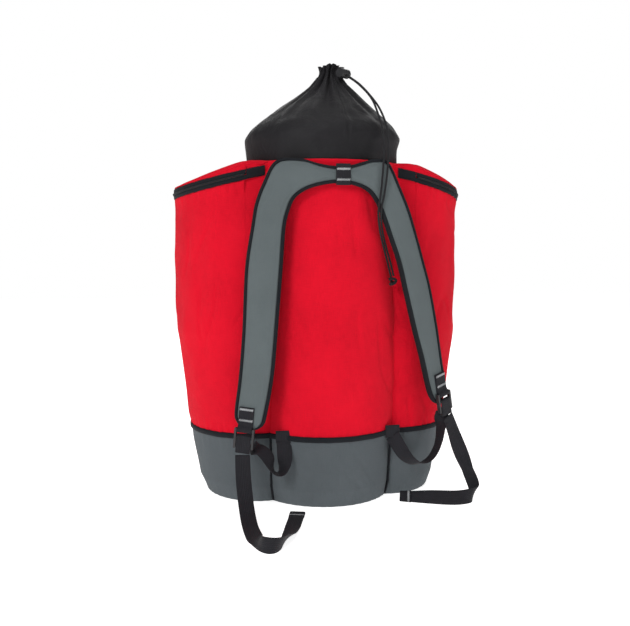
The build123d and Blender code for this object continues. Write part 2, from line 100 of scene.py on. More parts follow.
def grid_object(name, table, material, closed=False, thick=0.0, offset=-1.0):
    """A surface from a table of rows of points; its UVs are lengths along the surface in metres."""
    table = np.asarray(table, float)
    rows, columns = table.shape[:2]
    along = np.concatenate([np.zeros((rows, 1)), np.cumsum(np.linalg.norm(np.diff(table, axis=1), axis=2),
                                                           axis=1)], axis=1)
    up = np.concatenate([np.zeros((1, columns)), np.cumsum(np.linalg.norm(np.diff(table, axis=0), axis=2),
                                                           axis=0)], axis=0)
    middle = along[rows // 2]
    uv = np.stack([np.broadcast_to(middle, (rows, columns)), up], axis=2) * MM
    obj = mesh_object(name, table.reshape(-1, 3), grid_faces(rows, columns, closed), uv.reshape(-1, 2),
                      material)
    if thick:
        solid = obj.modifiers.new("cloth", "SOLIDIFY")
        solid.thickness, solid.offset = thick * MM, offset
        apply_modifiers(obj)
    return obj


def apply_modifiers(obj):
    graph = bpy.context.evaluated_depsgraph_get()
    data = bpy.data.meshes.new_from_object(obj.evaluated_get(graph))
    obj.modifiers.clear()
    obj.data = data
    return obj


def fix_normals(obj):
    bm = bmesh.new()
    bm.from_mesh(obj.data)
    bmesh.ops.recalc_face_normals(bm, faces=bm.faces)
    bm.to_mesh(obj.data)
    bm.free()
    return obj


def section(table, z):
    """The ellipse of a lobe at a height, between the listed ones."""
    for low, high in zip(table, table[1:]):
        if z <= high[0] or high is table[-1]:
            t = min(1, max(0, (z - low[0]) / (high[0] - low[0])))
            return [a + (b - a) * t for a, b in zip(low[1:], high[1:])]


def smooth_curve(points, count):
    """Evenly spread points on a smooth open curve through the given ones (Catmull-Rom)."""
    p = np.asarray(points, float)
    p = np.vstack([2 * p[0] - p[1], p, 2 * p[-1] - p[-2]])
    fine = []
    for k in range(1, len(p) - 2):
        for t in np.linspace(0, 1, 24, endpoint=False):
            a, b, c, d = p[k - 1], p[k], p[k + 1], p[k + 2]
            fine.append(0.5 * (2 * b + (c - a) * t + (2 * a - 5 * b + 4 * c - d) * t**2
                               + (3 * b - a - 3 * c + d) * t**3))
    fine.append(p[-2])
    return resample(np.array(fine), count)


def resample(line, count):
    """Points at even distances along a fine line."""
    s = np.concatenate([[0], np.cumsum(np.linalg.norm(np.diff(line, axis=0), axis=1))])
    return np.stack([np.interp(np.linspace(0, s[-1], count), s, line[:, k]) for k in range(line.shape[1])],
                    axis=1)


def rough(x, y, z, size, seed=0.0):
    return noise.noise(Vector((x / size, y / size, z / size + seed)))


def clamp(v, low=0.0, high=1.0):
    return max(low, min(high, v))


def step(low, high, v):
    t = clamp((v - low) / (high - low))
    return t * t * (3 - 2 * t)


# ---- materials --------------------------------------------------------------------------------
class Nodes:
    """A material under construction, with short calls for the nodes it needs."""

    def __init__(self, name, color, roughness, **inputs):
        self.material = bpy.data.materials.new(name)
        self.material.use_nodes = True
        self.tree = self.material.node_tree
        self.shader = self.tree.nodes["Principled BSDF"]
        self.shader.inputs["Base Color"].default_value = (*color, 1)
        self.shader.inputs["Roughness"].default_value = roughness
        for key, value in inputs.items():
            self.shader.inputs[key.replace("_", " ")].default_value = value

    def add(self, kind, links=(), **values):
        node = self.tree.nodes.new(kind)
        for key, value in values.items():
            if hasattr(node, key):
                setattr(node, key, value)
            else:
                node.inputs[key.replace("_", " ")].default_value = value
        for target, source in links:
            self.tree.links.new(source, node.inputs[target])
        return node

    def math(self, operation, a, b=0.5):
        node = self.tree.nodes.new("ShaderNodeMath")
        node.operation = operation
        for socket, value in zip(node.inputs, (a, b)):
            if isinstance(value, (int, float)):
                socket.default_value = value
            else:
                self.tree.links.new(value, socket)
        return node.outputs[0]

    def ramp(self, value, stops):
        node = self.tree.nodes.new("ShaderNodeValToRGB")
        self.tree.links.new(value, node.inputs[0])
        elements = node.color_ramp.elements
        while len(elements) < len(stops):
            elements.new(0.5)
        for element, (at, color) in zip(elements, stops):
            element.position, element.color = at, (*color, 1)
        return node.outputs[0]


def tinted(color, share):
    return tuple(clamp(c * share) for c in color)


def cloth_material(name, color, pitch, roughness=0.85, depth=0.25, spread=0.12, crease=0.0, use_uv=True,
                   sheen=0.06, streak=0.1, gloss=0.2):
    """Woven cloth: crossing yarns of the given pitch in millimetres, slubs, soft mottling and creases."""
    n = Nodes(name, color, roughness, Sheen_Weight=sheen, Sheen_Roughness=0.5, Specular_IOR_Level=gloss)
    place = n.add("ShaderNodeTexCoord")
    where = place.outputs["UV"] if use_uv else place.outputs["Object"]
    scale = 1.0 / (pitch * MM)
    spin = scale / 3.1831    # a wave texture of scale 1 has 3.1831 bands to the unit
    warp = n.add("ShaderNodeTexWave", [("Vector", where)], bands_direction="X", Scale=spin, Distortion=0.6,
                 Detail=1.0, Detail_Scale=2.0)
    weft = n.add("ShaderNodeTexWave", [("Vector", where)], bands_direction="Y" if use_uv else "Z",
                 Scale=spin, Distortion=0.6, Detail=1.0, Detail_Scale=2.0)
    weave = n.math("MULTIPLY", warp.outputs["Fac"], weft.outputs["Fac"])
    slub_u = n.add("ShaderNodeMapping", [("Vector", where)], Scale=(1200, 60, 60))
    slub_v = n.add("ShaderNodeMapping", [("Vector", where)], Scale=(60, 1200, 1200))
    noise_u = n.add("ShaderNodeTexNoise", [("Vector", slub_u.outputs[0])], Scale=1.0, Detail=2.0)
    noise_v = n.add("ShaderNodeTexNoise", [("Vector", slub_v.outputs[0])], Scale=1.0, Detail=2.0)
    slubs = n.math("ADD", noise_u.outputs["Fac"], noise_v.outputs["Fac"])
    broad = n.add("ShaderNodeTexNoise", [("Vector", place.outputs["Object"])], Scale=9.0, Detail=5.0,
                  Roughness=0.6)
    shade = n.math("MULTIPLY", weave, streak)
    shade = n.math("ADD", shade, n.math("MULTIPLY", slubs, streak * 1.2))
    shade = n.math("ADD", shade, n.math("MULTIPLY", broad.outputs["Fac"], 0.55))
    tint = n.ramp(shade, [(0.25, tinted(color, 1 - spread)), (0.62, tinted(color, 1 + spread))])
    n.tree.links.new(tint, n.shader.inputs["Base Color"])
    height = n.math("ADD", weave, n.math("MULTIPLY", slubs, 0.5))
    bump = n.add("ShaderNodeBump", [("Height", height)], Strength=depth, Distance=0.0006)
    if crease:
        folds = n.add("ShaderNodeTexNoise", [("Vector", place.outputs["Object"])], Scale=26.0, Detail=4.0,
                      Roughness=0.55, Distortion=1.2)
        bump = n.add("ShaderNodeBump", [("Height", folds.outputs["Fac"]), ("Normal", bump.outputs[0])],
                     Strength=crease, Distance=0.006)
    n.tree.links.new(bump.outputs[0], n.shader.inputs["Normal"])
    return n.material


def web_material(name, color):
    """Heavy webbing: ribs along its length and a woven herringbone."""
    n = Nodes(name, color, 0.7, Sheen_Weight=0.05, Sheen_Roughness=0.4, Specular_IOR_Level=0.22)
    place = n.add("ShaderNodeTexCoord")
    ribs = n.add("ShaderNodeTexWave", [("Vector", place.outputs["UV"])], bands_direction="X", Scale=140.0,
                 Distortion=0.3)
    picks = n.add("ShaderNodeTexWave", [("Vector", place.outputs["UV"])], bands_direction="DIAGONAL",
                  Scale=190.0, Distortion=0.5)
    grain = n.add("ShaderNodeTexNoise", [("Vector", place.outputs["Object"])], Scale=60.0, Detail=5.0)
    height = n.math("ADD", ribs.outputs["Fac"], n.math("MULTIPLY", picks.outputs["Fac"], 0.6))
    tint = n.ramp(n.math("ADD", n.math("MULTIPLY", height, 0.3),
                         n.math("MULTIPLY", grain.outputs["Fac"], 0.5)),
                  [(0.2, tinted(color, 0.7)), (0.8, tinted(color, 1.5))])
    n.tree.links.new(tint, n.shader.inputs["Base Color"])
    bump = n.add("ShaderNodeBump", [("Height", height)], Strength=0.45, Distance=0.0008)
    n.tree.links.new(bump.outputs[0], n.shader.inputs["Normal"])
    return n.material


def solid_material(name, color, roughness, grain=60.0, depth=0.1, metallic=0.0):
    """Moulded plastic or enamelled metal with fine grain and slight handling wear."""
    n = Nodes(name, color, roughness, Metallic=metallic)
    place = n.add("ShaderNodeTexCoord")
    fine = n.add("ShaderNodeTexNoise", [("Vector", place.outputs["Object"])], Scale=grain * 30, Detail=3.0)
    wear = n.add("ShaderNodeTexNoise", [("Vector", place.outputs["Object"])], Scale=grain, Detail=6.0)
    n.tree.links.new(n.ramp(wear.outputs["Fac"], [(0.3, tinted(color, 0.75)), (0.8, tinted(color, 1.6))]),
                     n.shader.inputs["Base Color"])
    rough_out = n.math("MULTIPLY_ADD", wear.outputs["Fac"], 0.3)
    n.tree.nodes[-1].inputs[2].default_value = roughness - 0.15
    n.tree.links.new(rough_out, n.shader.inputs["Roughness"])
    bump = n.add("ShaderNodeBump", [("Height", fine.outputs["Fac"])], Strength=depth, Distance=0.0003)
    n.tree.links.new(bump.outputs[0], n.shader.inputs["Normal"])
    return n.material


RED = cloth_material("red_nylon", (0.60, 0.0045, 0.018), 1.1, 0.8, 0.6, 0.24, 0.22, sheen=0.02, streak=0.2,
                     gloss=0.06)
GREY = cloth_material("grey_boot_nylon", (0.078, 0.091, 0.099), 1.3, 0.85, 0.6, 0.16, 0.16, sheen=0.04,
                      streak=0.18)
PAD = cloth_material("grey_pad_cloth", (0.103, 0.123, 0.127), 0.9, 0.88, 0.5, 0.14, 0.06, sheen=0.03,
                     streak=0.16)
COLLAR = cloth_material("black_collar_nylon", (0.0085, 0.0078, 0.0095), 1.0, 0.55, 0.3, 0.3, 0.35,
                        sheen=0.04, gloss=0.22)
BINDING = cloth_material("black_binding", (0.008, 0.0095, 0.0125), 1.2, 0.75, 0.5, 0.25, use_uv=False,
                         sheen=0.03, gloss=0.15)
MESH = cloth_material("black_mesh", (0.014, 0.015, 0.017), 2.4, 0.9, 0.8, 0.3)
WEB = web_material("black_webbing", (0.0105, 0.0102, 0.0135))
PLASTIC = solid_material("black_acetal", (0.014, 0.014, 0.016), 0.42)
METAL = solid_material("black_enamel", (0.02, 0.02, 0.022), 0.35, metallic=0.6)
STEEL = solid_material("spring_steel", (0.5, 0.5, 0.5), 0.3, metallic=1.0)
CORD = cloth_material("black_cord", (0.013, 0.013, 0.015), 1.0, 0.7, 0.8, 0.3)
THREAD = solid_material("grey_thread", (0.3, 0.31, 0.32), 0.8, depth=0.4)


# ---- camera, light and floor ------------------------------------------------------------------
def aim(obj, target):
    obj.rotation_euler = (Vector(target) - obj.location).to_track_quat("-Z", "Y").to_euler()


camera = bpy.data.objects.new("camera", bpy.data.cameras.new("camera"))
bpy.context.scene.collection.objects.link(camera)
camera.data.lens = 45.86286
camera.location = (-0.2862, -1.4520, 0.4303)
camera.rotation_euler = (radians(90 - 4.43), 0, radians(-10.95))
bpy.context.scene.camera = camera
bpy.context.scene.view_settings.view_transform = "Standard"

world = bpy.data.worlds.new("studio")
world.use_nodes = True
sky = world.node_tree.nodes["Background"]
sky.inputs[0].default_value = (1, 1, 1, 1)
backdrop = world.node_tree.nodes.new("ShaderNodeBackground")
backdrop.inputs[0].default_value = (1, 1, 1, 1)
sky.inputs[1].default_value, backdrop.inputs[1].default_value = 0.22, 1.0
ray = world.node_tree.nodes.new("ShaderNodeLightPath")
choose = world.node_tree.nodes.new("ShaderNodeMixShader")
world.node_tree.links.new(ray.outputs["Is Camera Ray"], choose.inputs[0])
world.node_tree.links.new(sky.outputs[0], choose.inputs[1])
world.node_tree.links.new(backdrop.outputs[0], choose.inputs[2])
world.node_tree.links.new(choose.outputs[0], world.node_tree.nodes["World Output"].inputs[0])
bpy.context.scene.world = world
# Each light: name, place, size and power in watts.
LIGHTS = (("key", (-1.9, -2.3, 1.9), 1.0, 48), ("fill", (2.2, -2.0, 1.2), 1.4, 12),
          ("top", (0.1, -0.5, 2.8), 1.3, 14), ("rear", (0.6, 2.6, 1.8), 2.0, 40))
for name, place, size, power in LIGHTS:
    light = bpy.data.objects.new(name, bpy.data.lights.new(name, "AREA"))
    light.data.size, light.data.energy = size, power
    light.location = place
    bpy.context.scene.collection.objects.link(light)
    aim(light, (0, 0, 0.35))

floor = mesh_object("floor", [(-6000, -6000, 0), (6000, -6000, 0), (6000, 6000, 0), (-6000, 6000, 0)],
                    [(0, 1, 2, 3)])
white = Nodes("floor_white", (0.9, 0.9, 0.9), 0.9)
white.shader.inputs["Emission Color"].default_value = (1, 1, 1, 1)
white.shader.inputs["Emission Strength"].default_value = 0.8
floor.data.materials.append(white.material)


# ---- bag walls --------------------------------------------------------------------------------
def zip_height(x):
    """Height of the inclined zip line at x."""
    return ZIP_Z - (abs(x) - POCKET_X) * tan(ZIP_SLOPE)


def lid_height(x):
    """Height of the sloping lid at x, outside the fold."""
    return TOP_Z + (LID_OUTER_Z - TOP_Z) * (abs(x) - HINGE_X) / (POCKET_X + POCKET_A - HINGE_X)


def sag(x, y, z, angle, low, high, seed):
    """How far the cloth moves in or out from its pattern, in millimetres: soft dents, drags and puckers."""
    soft = 4.2 * rough(x, y, z * 0.5, 90, seed) + 2.2 * rough(x, y, z * 0.6, 36, seed + 7)
    ridge = 1 - abs(rough(x * 1.3 + z * 0.55, y * 1.3, z * 0.4 - x * 0.3, 58, seed + 3)) * 4
    drag = 2.0 * max(0.0, ridge) ** 2 * step(-0.1, 0.25, rough(x, y, z, 80, seed + 13))
    near = min(z - low, high - z)
    pucker = 1.1 * sin(angle * 46 + 3 * rough(x, y, 0, 30, seed)) * max(0.0, 1 - near / 32.0)
    free = step(0, 26, near)
    return (soft - drag - 0.6) * free + pucker * 0.55


def wall(name, table, side, start, stop, low, high_of, columns, rows, material, seed, tight=1.0):
    """The outside of a lobe between two angles and two heights, as sagging cloth with a little thickness."""
    points = []
    for r in range(rows):
        row = []
        for c in range(columns):
            angle = start + (stop - start) * c / (columns - 1)
            high = high_of(angle)
            z = low + (high - low) * r / (rows - 1)
            cx, cy, a, b = section(table, z)
            x, y = cx + a * cos(angle), cy + b * sin(angle)
            out = Vector((cos(angle) / a, sin(angle) / b, 0)).normalized()
            move = tight * sag(x, y, z, angle, low, high, seed) - 0.4
            row.append((side * (x + out.x * move), y + out.y * move, z))
        points.append(row)
    return fix_normals(grid_object(name, points, material, thick=CLOTH_T, offset=-side))


def pocket_top(angle):
    """Where a pocket's wall ends: under the zip, or at the top beside the collar."""
    x = POCKET_X + POCKET_A * cos(angle)
    return zip_height(x) - 7.5 if x > HINGE_X else TOP_Z - 3


for name, side, seed in (("left", -1, 11.0), ("right", 1, 23.0)):
    red = wall(f"{name}_pocket_cloth", SIDE, side, radians(-106), radians(131), SEAM_Z, pocket_top,
               190, 120, RED, seed)
    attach(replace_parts(red, f"{name}_pocket"), BODY)
    boot = wall(f"{name}_boot_cloth", SIDE, side, radians(-108), radians(131), 1.0, lambda a: SEAM_Z,
                150, 50, GREY, seed + 2, 0.7)
    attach(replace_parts(boot, f"{name}_boot"), BODY)

red = wall("main_cloth", MAIN, 1, 0, 2 * pi, SEAM_Z, lambda a: TOP_Z, 240, 120, RED, 3.0)
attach(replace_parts(red, "main_compartment"), BODY)
boot = wall("main_boot_cloth", MAIN, 1, 0, 2 * pi, 1.0, lambda a: SEAM_Z, 200, 50, GREY, 5.0, 0.7)
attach(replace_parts(boot, "main_boot"), BODY)


# ---- bindings and zips ------------------------------------------------------------------------
def band(name, side, table, start, stop, middle_of, half, proud, material, count=120):
    """A tape that lies round a lobe, rounded over, with slightly uneven edges."""
    profile = [(-half, 0.0), (-half, proud * 0.7), (-half * 0.6, proud), (0, proud * 1.05),
               (half * 0.6, proud), (half, proud * 0.7), (half, 0.0)]
    rows = []
    for dz, lift in profile:
        row = []
        for c in range(count):
            angle = start + (stop - start) * c / (count - 1)
            cx, cy, a, b = section(table, SEAM_Z if middle_of is None else 400)
            x, y = cx + a * cos(angle), cy + b * sin(angle)
            middle = SEAM_Z if middle_of is None else middle_of(x)
            z = middle + dz + 0.5 * rough(x, y, 0, 22, half + dz * 0.01)
            out = Vector((cos(angle) / a, sin(angle) / b, 0)).normalized() * (lift - 0.4)
            row.append((side * (x + out.x), y + out.y, z))
        rows.append(row)
    return fix_normals(grid_object(name, rows, material))


parts = [band(f"seam_binding_{name}", side, SIDE, radians(-105), radians(130), None, 4.4, 2.6, BINDING)
         for name, side in SIDES]
parts.append(band("seam_binding_main", 1, MAIN, radians(-142), radians(-38), None, 4.4, 2.6, BINDING))
parts.append(band("seam_binding_rear", 1, MAIN, radians(60), radians(120), None, 4.4, 2.6, BINDING))
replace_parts(parts[0], "seam_binding")
for part in parts:
    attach(part, BODY)


def teeth(name, side, level, count=190):
    """One side of the zip's coil as a row of small interlocking loops along the inclined ring."""
    centre = Vector((side * POCKET_X, 0, ZIP_Z))
    ex = Vector((side * cos(ZIP_SLOPE), 0, -sin(ZIP_SLOPE)))
    ez = Vector((side * sin(ZIP_SLOPE), 0, cos(ZIP_SLOPE)))
    ey = ez.cross(ex)
    radius = POCKET_B + 2.3
    points, faces = [], []
    for k in range(count):
        angle = radians(-83 + 166 * k / (count - 1))
        out = ex * cos(angle) + ey * sin(angle)
        tangent = ez.cross(out)
        at = centre + out * radius + ez * level
        base = len(points)
        for u in (-0.55, 0.55):
            for v, w in ((-0.8, -0.6), (0.0, -0.85), (0.8, -0.6), (0.8, 0.6), (0.0, 0.85), (-0.8, 0.6)):
                points.append(at + tangent * u + out * v + ez * w)
        faces += [tuple(base + i for i in range(6)), tuple(base + 6 + i for i in range(6))[::-1]]
        faces += [(base + i, base + (i + 1) % 6, base + 6 + (i + 1) % 6, base + 6 + i) for i in range(6)]
    return fix_normals(mesh_object(name, points, faces, None, PLASTIC, False))


for name, side in SIDES:
    low = band(f"{name}_zip_binding_lower", side, SIDE, radians(-85), radians(85),
               lambda x: zip_height(x) - 4.5, 3.9, 1.8, BINDING)
    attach(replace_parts(low, f"{name}_zip_tape_lower"), BODY)
    for end, turn in (("front", -1), ("rear", 1)):
        stop = band(f"{name}_zip_end_{end}", side, SIDE, radians(turn * 84.9), radians(turn * 99),
                    zip_height, 8.3, 1.8, BINDING, 30)
        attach(stop, BODY)
    high = band(f"{name}_zip_binding_upper", side, SIDE, radians(-84.5), radians(84.5),
                lambda x: zip_height(x) + 4.5, 3.9, 1.8, BINDING)
    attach(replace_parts(high, f"{name}_zip_tape_upper"), f"{name}_lid")
    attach(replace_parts(teeth(f"{name}_coil_lower", side, -0.9),
                        f"{name}_zip_coil_lower"), BODY)
    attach(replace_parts(teeth(f"{name}_coil_upper", side, 0.9),
                        f"{name}_zip_coil_upper"), f"{name}_lid")


def cusp(side, z):
    """Where the main lobe and a side lobe meet at the front, at a height."""
    cx, cy, a, b = section(SIDE, z)
    mx, my, ma, mb = section(MAIN, z)
    for k in range(400):
        angle = radians(-60 - 90 * k / 399)
        x, y = cx + a * cos(angle), cy + b * sin(angle)
        if ((x - mx) / ma) ** 2 + ((y - my) / mb) ** 2 < 1:
            return side * x, y
    return side * x, y


for name, side in SIDES:
    rings = []
    for k in range(60):
        z = 2 + (SEAM_Z - 4) * k / 59
        x, y = cusp(side, z)
        rings.append([(x + 1.9 * cos(2 * pi * c / 10), y - 0.8 + 2.4 * sin(2 * pi * c / 10), z)
                      for c in range(11)])
    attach(fix_normals(grid_object(f"{name}_boot_piping", rings, BINDING)), BODY)


# ---- pocket lids ------------------------------------------------------------------------------
STRIP_X = 48    # where the level strip beside the collar starts, out of sight inside it


def lid(name, side, seed):
    """The pocket's top as one cloth: the fixed strip by the collar, the fold, and the sloping lid."""
    rows = []
    level = [STRIP_X + (HINGE_X - STRIP_X) * k / 24 for k in range(24)]
    reach = POCKET_X + POCKET_A - 0.6 - HINGE_X
    slope = [HINGE_X + reach * (1 - (1 - k / 44) ** 1.6) for k in range(45)]
    for x in level + slope:
        half = POCKET_B * sqrt(max(0.0, 1 - ((x - POCKET_X) / POCKET_A) ** 2))
        row = []
        top = lid_height(x) if x > HINGE_X else TOP_Z - 0.5
        edge_x = POCKET_X + POCKET_A - x
        for c in range(81):
            t = -1 + 2 * c / 80
            y = half * sin(t * pi / 2)
            edge = min(half - abs(y), edge_x)
            dome = 3.5 * step(0, 60, edge) - 5.5 * (1 - step(0, 9, edge))
            dome += 1.6 * rough(x, y, 0, 42, seed) * step(0, 20, edge)
            fold = -1.2 * max(0.0, 1 - abs(x - HINGE_X) / 9)
            z = top + (dome if x > HINGE_X - 30 else dome * 0.4) + fold
            row.append((side * x, y, max(z, zip_height(x) + 9.5) if x > HINGE_X else z))
        rows.append(row)
    top = grid_object(f"{name}_lid_cloth", rows, RED, thick=CLOTH_T, offset=-side)
    skirt = []
    for k in range(8):
        row = []
        for c in range(150):
            angle = radians(-84.7 + 169.4 * c / 149)
            x, y = POCKET_X + (POCKET_A - 0.5) * cos(angle), (POCKET_B - 0.5) * sin(angle)
            z_low, z_high = zip_height(x) + 6.5, max(lid_height(x) - 5.0, zip_height(x) + 9.5)
            row.append((side * x, y, z_low + (z_high - z_low) * k / 7))
        skirt.append(row)
    rim = grid_object(f"{name}_lid_rim", skirt, RED, thick=CLOTH_T, offset=-side)
    for obj in (top, rim):
        fix_normals(obj)
    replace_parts(top, f"{name}_lid_panel")
    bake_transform(top)
    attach(rim, f"{name}_lid")


lid("left", -1, 31.0)
lid("right", 1, 37.0)


# ---- collar -----------------------------------------------------------------------------------
# The collar's rings: height, middle x, middle y, half width, half depth.
COLLAR_RINGS = ((560, 0, -35, 130, 134), (576, 0, -35, 132, 136), (592, 0, -35, 134, 138),
                (606, 0, -35, 135.5, 139), (617, 1, -35, 137.5, 140), (628, 2, -35, 137, 138),
                (640, 3, -36, 129, 129), (652, 4, -37, 116, 115), (667, 6, -38, 98, 96),
                (683, 8, -38, 77, 75), (699, 11, -38, 56, 54), (716, 13, -38, 36, 35),
                (728, 13, -38, 24.5, 25), (737, 13.5, -38, 18.5, 19), (744, 14, -38, 17, 17),
                (750, 15, -39, 19, 20), (755, 16, -39, 21, 22))
COLLAR_SEAM = 4.83    # where its seam runs, in radians
FLARE_Z = 742         # above this the gathered hem stands up


def collar(rows=110, columns=320):
    """Thin cloth gathered by a drawcord: deep pleats run from the neck and die out down the sides."""
    rings = smooth_curve(COLLAR_RINGS, rows)
    points = []
    for z, cx, cy, a, b in rings:
        row = []
        up = step(618, 740, z)
        free = step(578, 600, z)
        for c in range(columns):
            angle = 2 * pi * c / columns
            wander = angle + 0.16 * rough(cos(angle) * 60, sin(angle) * 60, z, 70, 4.0)
            drift = 0.8 * rough(cos(angle) * 40, sin(angle) * 40, z, 90, 2.0)
            pleat = 0.5 * sin(15 * wander + drift) + 0.35 * sin(23 * wander + 1.3)
            pleat += 0.25 * sin(9 * wander + 2.0)
            deep = up * (3.2 + 7.0 * step(0, 0.6, up)) * (1 if z < 736 else 0.6)
            px, py = cos(angle) * 140, sin(angle) * 140
            soft = 4.6 * rough(px, py, z * 0.8, 52, 9.0) * (1 - 0.55 * up)
            crease = abs(rough(px + z * 0.7, py, z * 0.5, 60, 21.0))
            soft -= 2.4 * max(0.0, 1 - 5 * crease) * step(612, 650, z)
            slump = 2.2 * rough(px, py, z * 1.7, 26, 5.0) * step(600, 640, z) * (1 - up)
            aside = abs(angle - COLLAR_SEAM)
            seam_line = 0.9 * max(0.0, 1 - abs(aside - 0.035) * 60) - 1.6 * max(0.0, 1 - aside * 60)
            swell = pleat * deep + (soft + slump) * free + seam_line * step(600, 612, z)
            grow = 1 + min(0.0, swell) / max(a, 24) + max(0.0, swell) * 0.7 / max(a, 24)
            lift = 0.0
            if z > FLARE_Z:
                ragged = 4.0 * rough(cos(angle) * 20, sin(angle) * 20, 0, 11, 1.0)
                lift = (z - FLARE_Z) / 17 * (3.0 * sin(3 * angle + 0.6) - 3.0 + ragged)
            row.append((cx + a * cos(angle) * grow, cy + b * sin(angle) * grow, z + lift))
        points.append(row)
    obj = grid_object("collar_cloth", points, COLLAR, closed=True, thick=1.2)
    return fix_normals(obj)


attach(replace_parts(collar(), "collar"), BODY)


# ---- harness pads -----------------------------------------------------------------------------
PAD_A, PAD_B = 260.0, 155.0    # half axes of the upright ellipse on which the pads' faces lie
# The pads' edges as pairs of (x, z), seen from the front; points with the same number lie opposite.
LEFT_OUTER = ((-148, 137), (-158, 140), (-167, 151), (-170, 167), (-163, 225), (-157, 301), (-152, 402),
              (-142, 470), (-136, 505), (-124, 538), (-104, 573), (-66, 577), (-38, 570), (-14, 566),
              (4, 566))
LEFT_INNER = ((-144, 137), (-134, 139), (-124, 147), (-119, 163), (-108, 225), (-101, 301), (-93, 402),
              (-88, 468), (-81, 497), (-72, 515), (-55, 527), (-38, 533), (-24, 536), (-8, 538), (4, 538))
RIGHT_OUTER = ((4, 566), (20, 568), (38, 573), (58, 578), (82, 574), (104, 535), (123, 495), (138, 453),
               (152, 411), (166, 368), (182, 301), (192, 250), (200, 212), (201, 188), (195, 172),
               (188, 166))
RIGHT_INNER = ((4, 538), (14, 537), (28, 534), (41, 529), (53, 520), (66, 500), (75, 478), (85, 453),
               (101, 411), (113, 366), (131, 301), (147, 250), (158, 210), (166, 186), (175, 172),
               (184, 166))


def on_pad(x, z, height):
    """The point of the pad's curved front face at x and z, raised by a height off it."""
    root = sqrt(1 - (x / PAD_A) ** 2)
    out = Vector((PAD_B * x / PAD_A**2 / root, -1, 0)).normalized()
    return Vector((x, MAIN_Y - PAD_B * root, z)) + out * height


def pad(name, outer, inner, nodes, seed, rows=150, columns=22):
    """A padded strap: crowned cloth face, mesh back and a rolled binding sewn round both edges."""
    pairs = smooth_curve([(*o, *i) for o, i in zip(outer, inner)], rows)
    front, back = [], []
    for ox, oz, ix, iz in pairs:
        width = sqrt((ox - ix) ** 2 + (oz - iz) ** 2)
        inset = min(4.6 / max(width, 1e-6), 0.45)
        face, rear = [], []
        for c in range(columns + 1):
            u = inset + (1 - 2 * inset) * c / columns
            x, z = ox + (ix - ox) * u, oz + (iz - oz) * u
            side = min(u - inset, 1 - inset - u) * width
            crown = 1.6 * step(0, 12, side) - 1.6 * (1 - step(0, 2.2, side))
            crown += 0.7 * rough(x, 0, z, 34, seed) * step(0, 8, side)
            quilt = -0.5 * max(0.0, 1 - abs(side - 6.5) / 1.2)
            face.append(on_pad(x, z, crown + quilt - 1.2))
            rear.append(on_pad(x, z, -9.2 - 0.6 * step(0, 12, side)))
        front.append(face)
        back.append(rear)
    face = grid_object(f"{name}_pad_face", front, PAD, thick=0.6, offset=0)
    rear = grid_object(f"{name}_pad_back", back, MESH, thick=0.6, offset=0)
    rolls = []
    for label in ("outer", "inner"):
        ring = []
        for ox, oz, ix, iz in pairs:
            here, there = Vector((ox, oz)), Vector((ix, iz))
            if label == "inner":
                here, there = there, here
            span = (there - here).length
            inward = (there - here).normalized() if span > 1e-6 else Vector((0, 1))
            loop = []
            for s, h in ((5.4, -0.9), (5.2, 0.25), (3.6, 0.35), (1.6, 0.1), (0.4, -1.4), (0, -4.6),
                         (0.4, -7.8), (1.6, -9.4), (3.6, -9.9), (5.2, -9.9), (5.4, -8.8)):
                s = min(s, span * 0.5)
                p = here + inward * s
                loop.append(on_pad(p.x, p.y, h - 0.2 + 0.25 * rough(p.x, 0, p.y, 14, seed + s)))
            ring.append(loop)
        roll = grid_object(f"{name}_pad_binding_{label}", np.swapaxes(np.array(ring), 0, 1), BINDING)
        rolls.append(fix_normals(roll))
    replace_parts(face, *[n for n in nodes if "face" in n or "foam" in n])
    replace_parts(rear, *[n for n in nodes if "mesh" in n])
    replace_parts(rolls[0], *[n for n in nodes if "binding" in n])
    for obj, slot in ((face, "grey_pad_fabric"), (rear, "pad_mesh"), (rolls[0], "black_binding"),
                      (rolls[1], "black_binding")):
        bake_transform(obj)


YOKE = ["yoke_face", "yoke_foam", "yoke_mesh", "yoke_binding"]
pad("left", LEFT_OUTER, LEFT_INNER,
    YOKE + [f"left_strap_{k}" for k in ("face", "foam", "mesh", "binding")], 2.0)
pad("right", RIGHT_OUTER, RIGHT_INNER,
    [f"right_strap_{k}" for k in ("face", "foam", "mesh", "binding")], 6.0)


# ---- webbing ----------------------------------------------------------------------------------
def spline_path(name, route):
    """Points read from a NURBS curve whose control points are the route, in metres."""
    curve = bpy.data.curves.new(name, "CURVE")
    curve.dimensions = "3D"
    curve.resolution_u = 12
    spline = curve.splines.new("NURBS")
    spline.points.add(len(route) - 1)
    for point, at in zip(spline.points, route):
        point.co = (*at, 1)
    spline.order_u = 3
    spline.use_endpoint_u = True
    obj = bpy.data.objects.new(name, curve)
    bpy.context.scene.collection.objects.link(obj)
    bpy.context.view_layer.update()
    data = bpy.data.meshes.new_from_object(obj)
    path = [tuple(v.co) for v in data.vertices]
    bpy.data.objects.remove(obj)
    bpy.data.meshes.remove(data)
    return path


